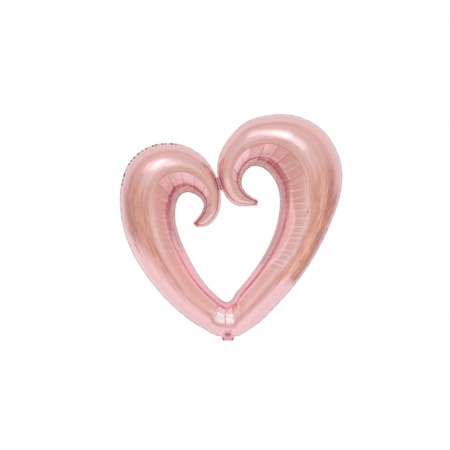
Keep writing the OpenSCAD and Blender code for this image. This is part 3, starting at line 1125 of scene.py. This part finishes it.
for skin, slot, node in (
    (front, "front_foil", "front_foil"),
    (back, "back_foil", "back_foil"),
    (web, "front_foil", "lobe_bridge"),
    (valve_front, "valve_film", "valve_film_front"),
    (valve_back, "valve_film", "valve_film_back"),
):
    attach(skin, "balloon")
    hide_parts(node)
for skin, slot, *nodes in (
    (neck_front, "front_foil", "neck_front", "tail_front"),
    (neck_back, "back_foil", "neck_back", "tail_back"),
):
    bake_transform(skin)
    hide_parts(*nodes)

# ---- floor and light
FLOOR_Z = -0.62
FLOOR_CORNERS = [(-2.6, -2.0), (2.6, -2.0), (9, 12), (-9, 12)]
FLOOR_PALE = (0.93, 0.92, 0.94, 1)


def floor():
    """A pale floor under and behind the balloon; it ends in front, where the darker room begins."""
    obj = mesh_object("floor", [(x, y, FLOOR_Z) for x, y in FLOOR_CORNERS], [(0, 1, 2, 3)])
    material, _, shader = new_material("pale_floor")
    shader.inputs["Base Color"].default_value = FLOOR_PALE
    shader.inputs["Roughness"].default_value = 0.9
    paint(obj, material)


CENTRE = (0, 0, 0.5)
SOFTBOX_SIZE = (1.2, 0.9)


def softbox(name, place, power):
    """A white softbox at a place, aimed at the balloon's middle."""
    data = bpy.data.lights.new(name, "AREA")
    data.shape = "RECTANGLE"
    data.size, data.size_y = SOFTBOX_SIZE
    data.energy = power
    obj = bpy.data.objects.new(name, data)
    obj.location = place
    away = np.array(CENTRE, float) - np.array(place, float)
    obj.rotation_euler = Vector(away).to_track_quat("-Z", "Y").to_euler()
    obj.visible_camera = False
    scene.collection.objects.link(obj)


# The room in front, by the height of the direction, from the floor up.
FRONT_ROOM = [
    (-1.0, 0.96, 0.95, 0.98), (-0.62, 0.98, 0.97, 0.99), (-0.50, 0.88, 0.83, 0.83),
    (-0.30, 0.86, 0.81, 0.79), (-0.12, 0.92, 0.89, 0.89), (0.12, 0.93, 0.90, 0.91),
    (0.45, 0.89, 0.85, 0.84), (0.90, 0.91, 0.88, 0.88),
]
# Parts of the room, as a direction, the shares where each begins and is full, and its colour.
PATCHES = [
    ((-0.85, -0.6, -0.25), 0.70, 0.98, (0.86, 0.74, 0.66)),
    ((0.85, -0.6, -0.25), 0.70, 0.98, (0.86, 0.74, 0.66)),
    ((-0.08, -0.775, 0.62), 0.962, 0.996, (1.85, 1.85, 1.92)),
    ((-0.36, -0.70, 0.62), 0.970, 0.998, (1.42, 1.41, 1.46)),
    ((0.20, -0.86, 0.46), 0.975, 0.998, (1.22, 1.21, 1.24)),
]
SWEEP = (0.97, 0.95, 0.98)
SWEEP_EDGE = (0.80, 0.75, 0.75)
# What diffuse surfaces receive, and what the camera sees behind the floor.
FLOOR_LIGHT = (1.14, 1.14, 1.14)
BACKDROP = (1.0, 1.0, 1.0)


def studio_world():
    """The room that the foil reflects: a white sweep behind, a dimmer room in front."""
    world = bpy.data.worlds.new("studio")
    scene.world = world
    world.use_nodes = True
    s = Shading(world.node_tree)
    s.tree.nodes.clear()
    direction = s.add("TexCoord").outputs["Generated"]
    height = s.add("SeparateXYZ", Vector=direction).outputs["Z"]
    level = s.add("MapRange", Value=height, From_Min=-1.0, From_Max=1.0).outputs["Result"]
    front = s.ramp(level, [((z + 1) / 2, *tone) for z, *tone in FRONT_ROOM])

    def toward(axis, low, high):
        """0 to 1 as the direction's share along an axis goes from low to high."""
        dot = s.add("VectorMath")
        dot.operation = "DOT_PRODUCT"
        s.put(dot.inputs[0], direction)
        dot.inputs[1].default_value = np.array(axis, float) / np.linalg.norm(axis)
        return s.ease(dot.outputs["Value"], low, high)

    s.color = s.over(SWEEP, toward((0, -1, 0), -0.08, 0.0), SWEEP_EDGE)
    s.lay(front, toward((0, -1, 0), 0.04, 0.3))
    for axis, low, high, tone in PATCHES:
        s.lay(tone, toward(axis, low, high))
    path = s.add("LightPath")
    s.lay(FLOOR_LIGHT, path.outputs["Is Diffuse Ray"])
    s.lay(BACKDROP, path.outputs["Is Camera Ray"])
    room = s.add("Background", Color=s.color)
    out = s.add("OutputWorld")
    s.put(out.inputs["Surface"], room.outputs[0])


floor()
softbox("key", (-0.6, -4.4, 4.3), 1.6)
softbox("fill", (1.1, -4.7, 3.0), 0.8)
studio_world()
scene.view_settings.view_transform = "Standard"
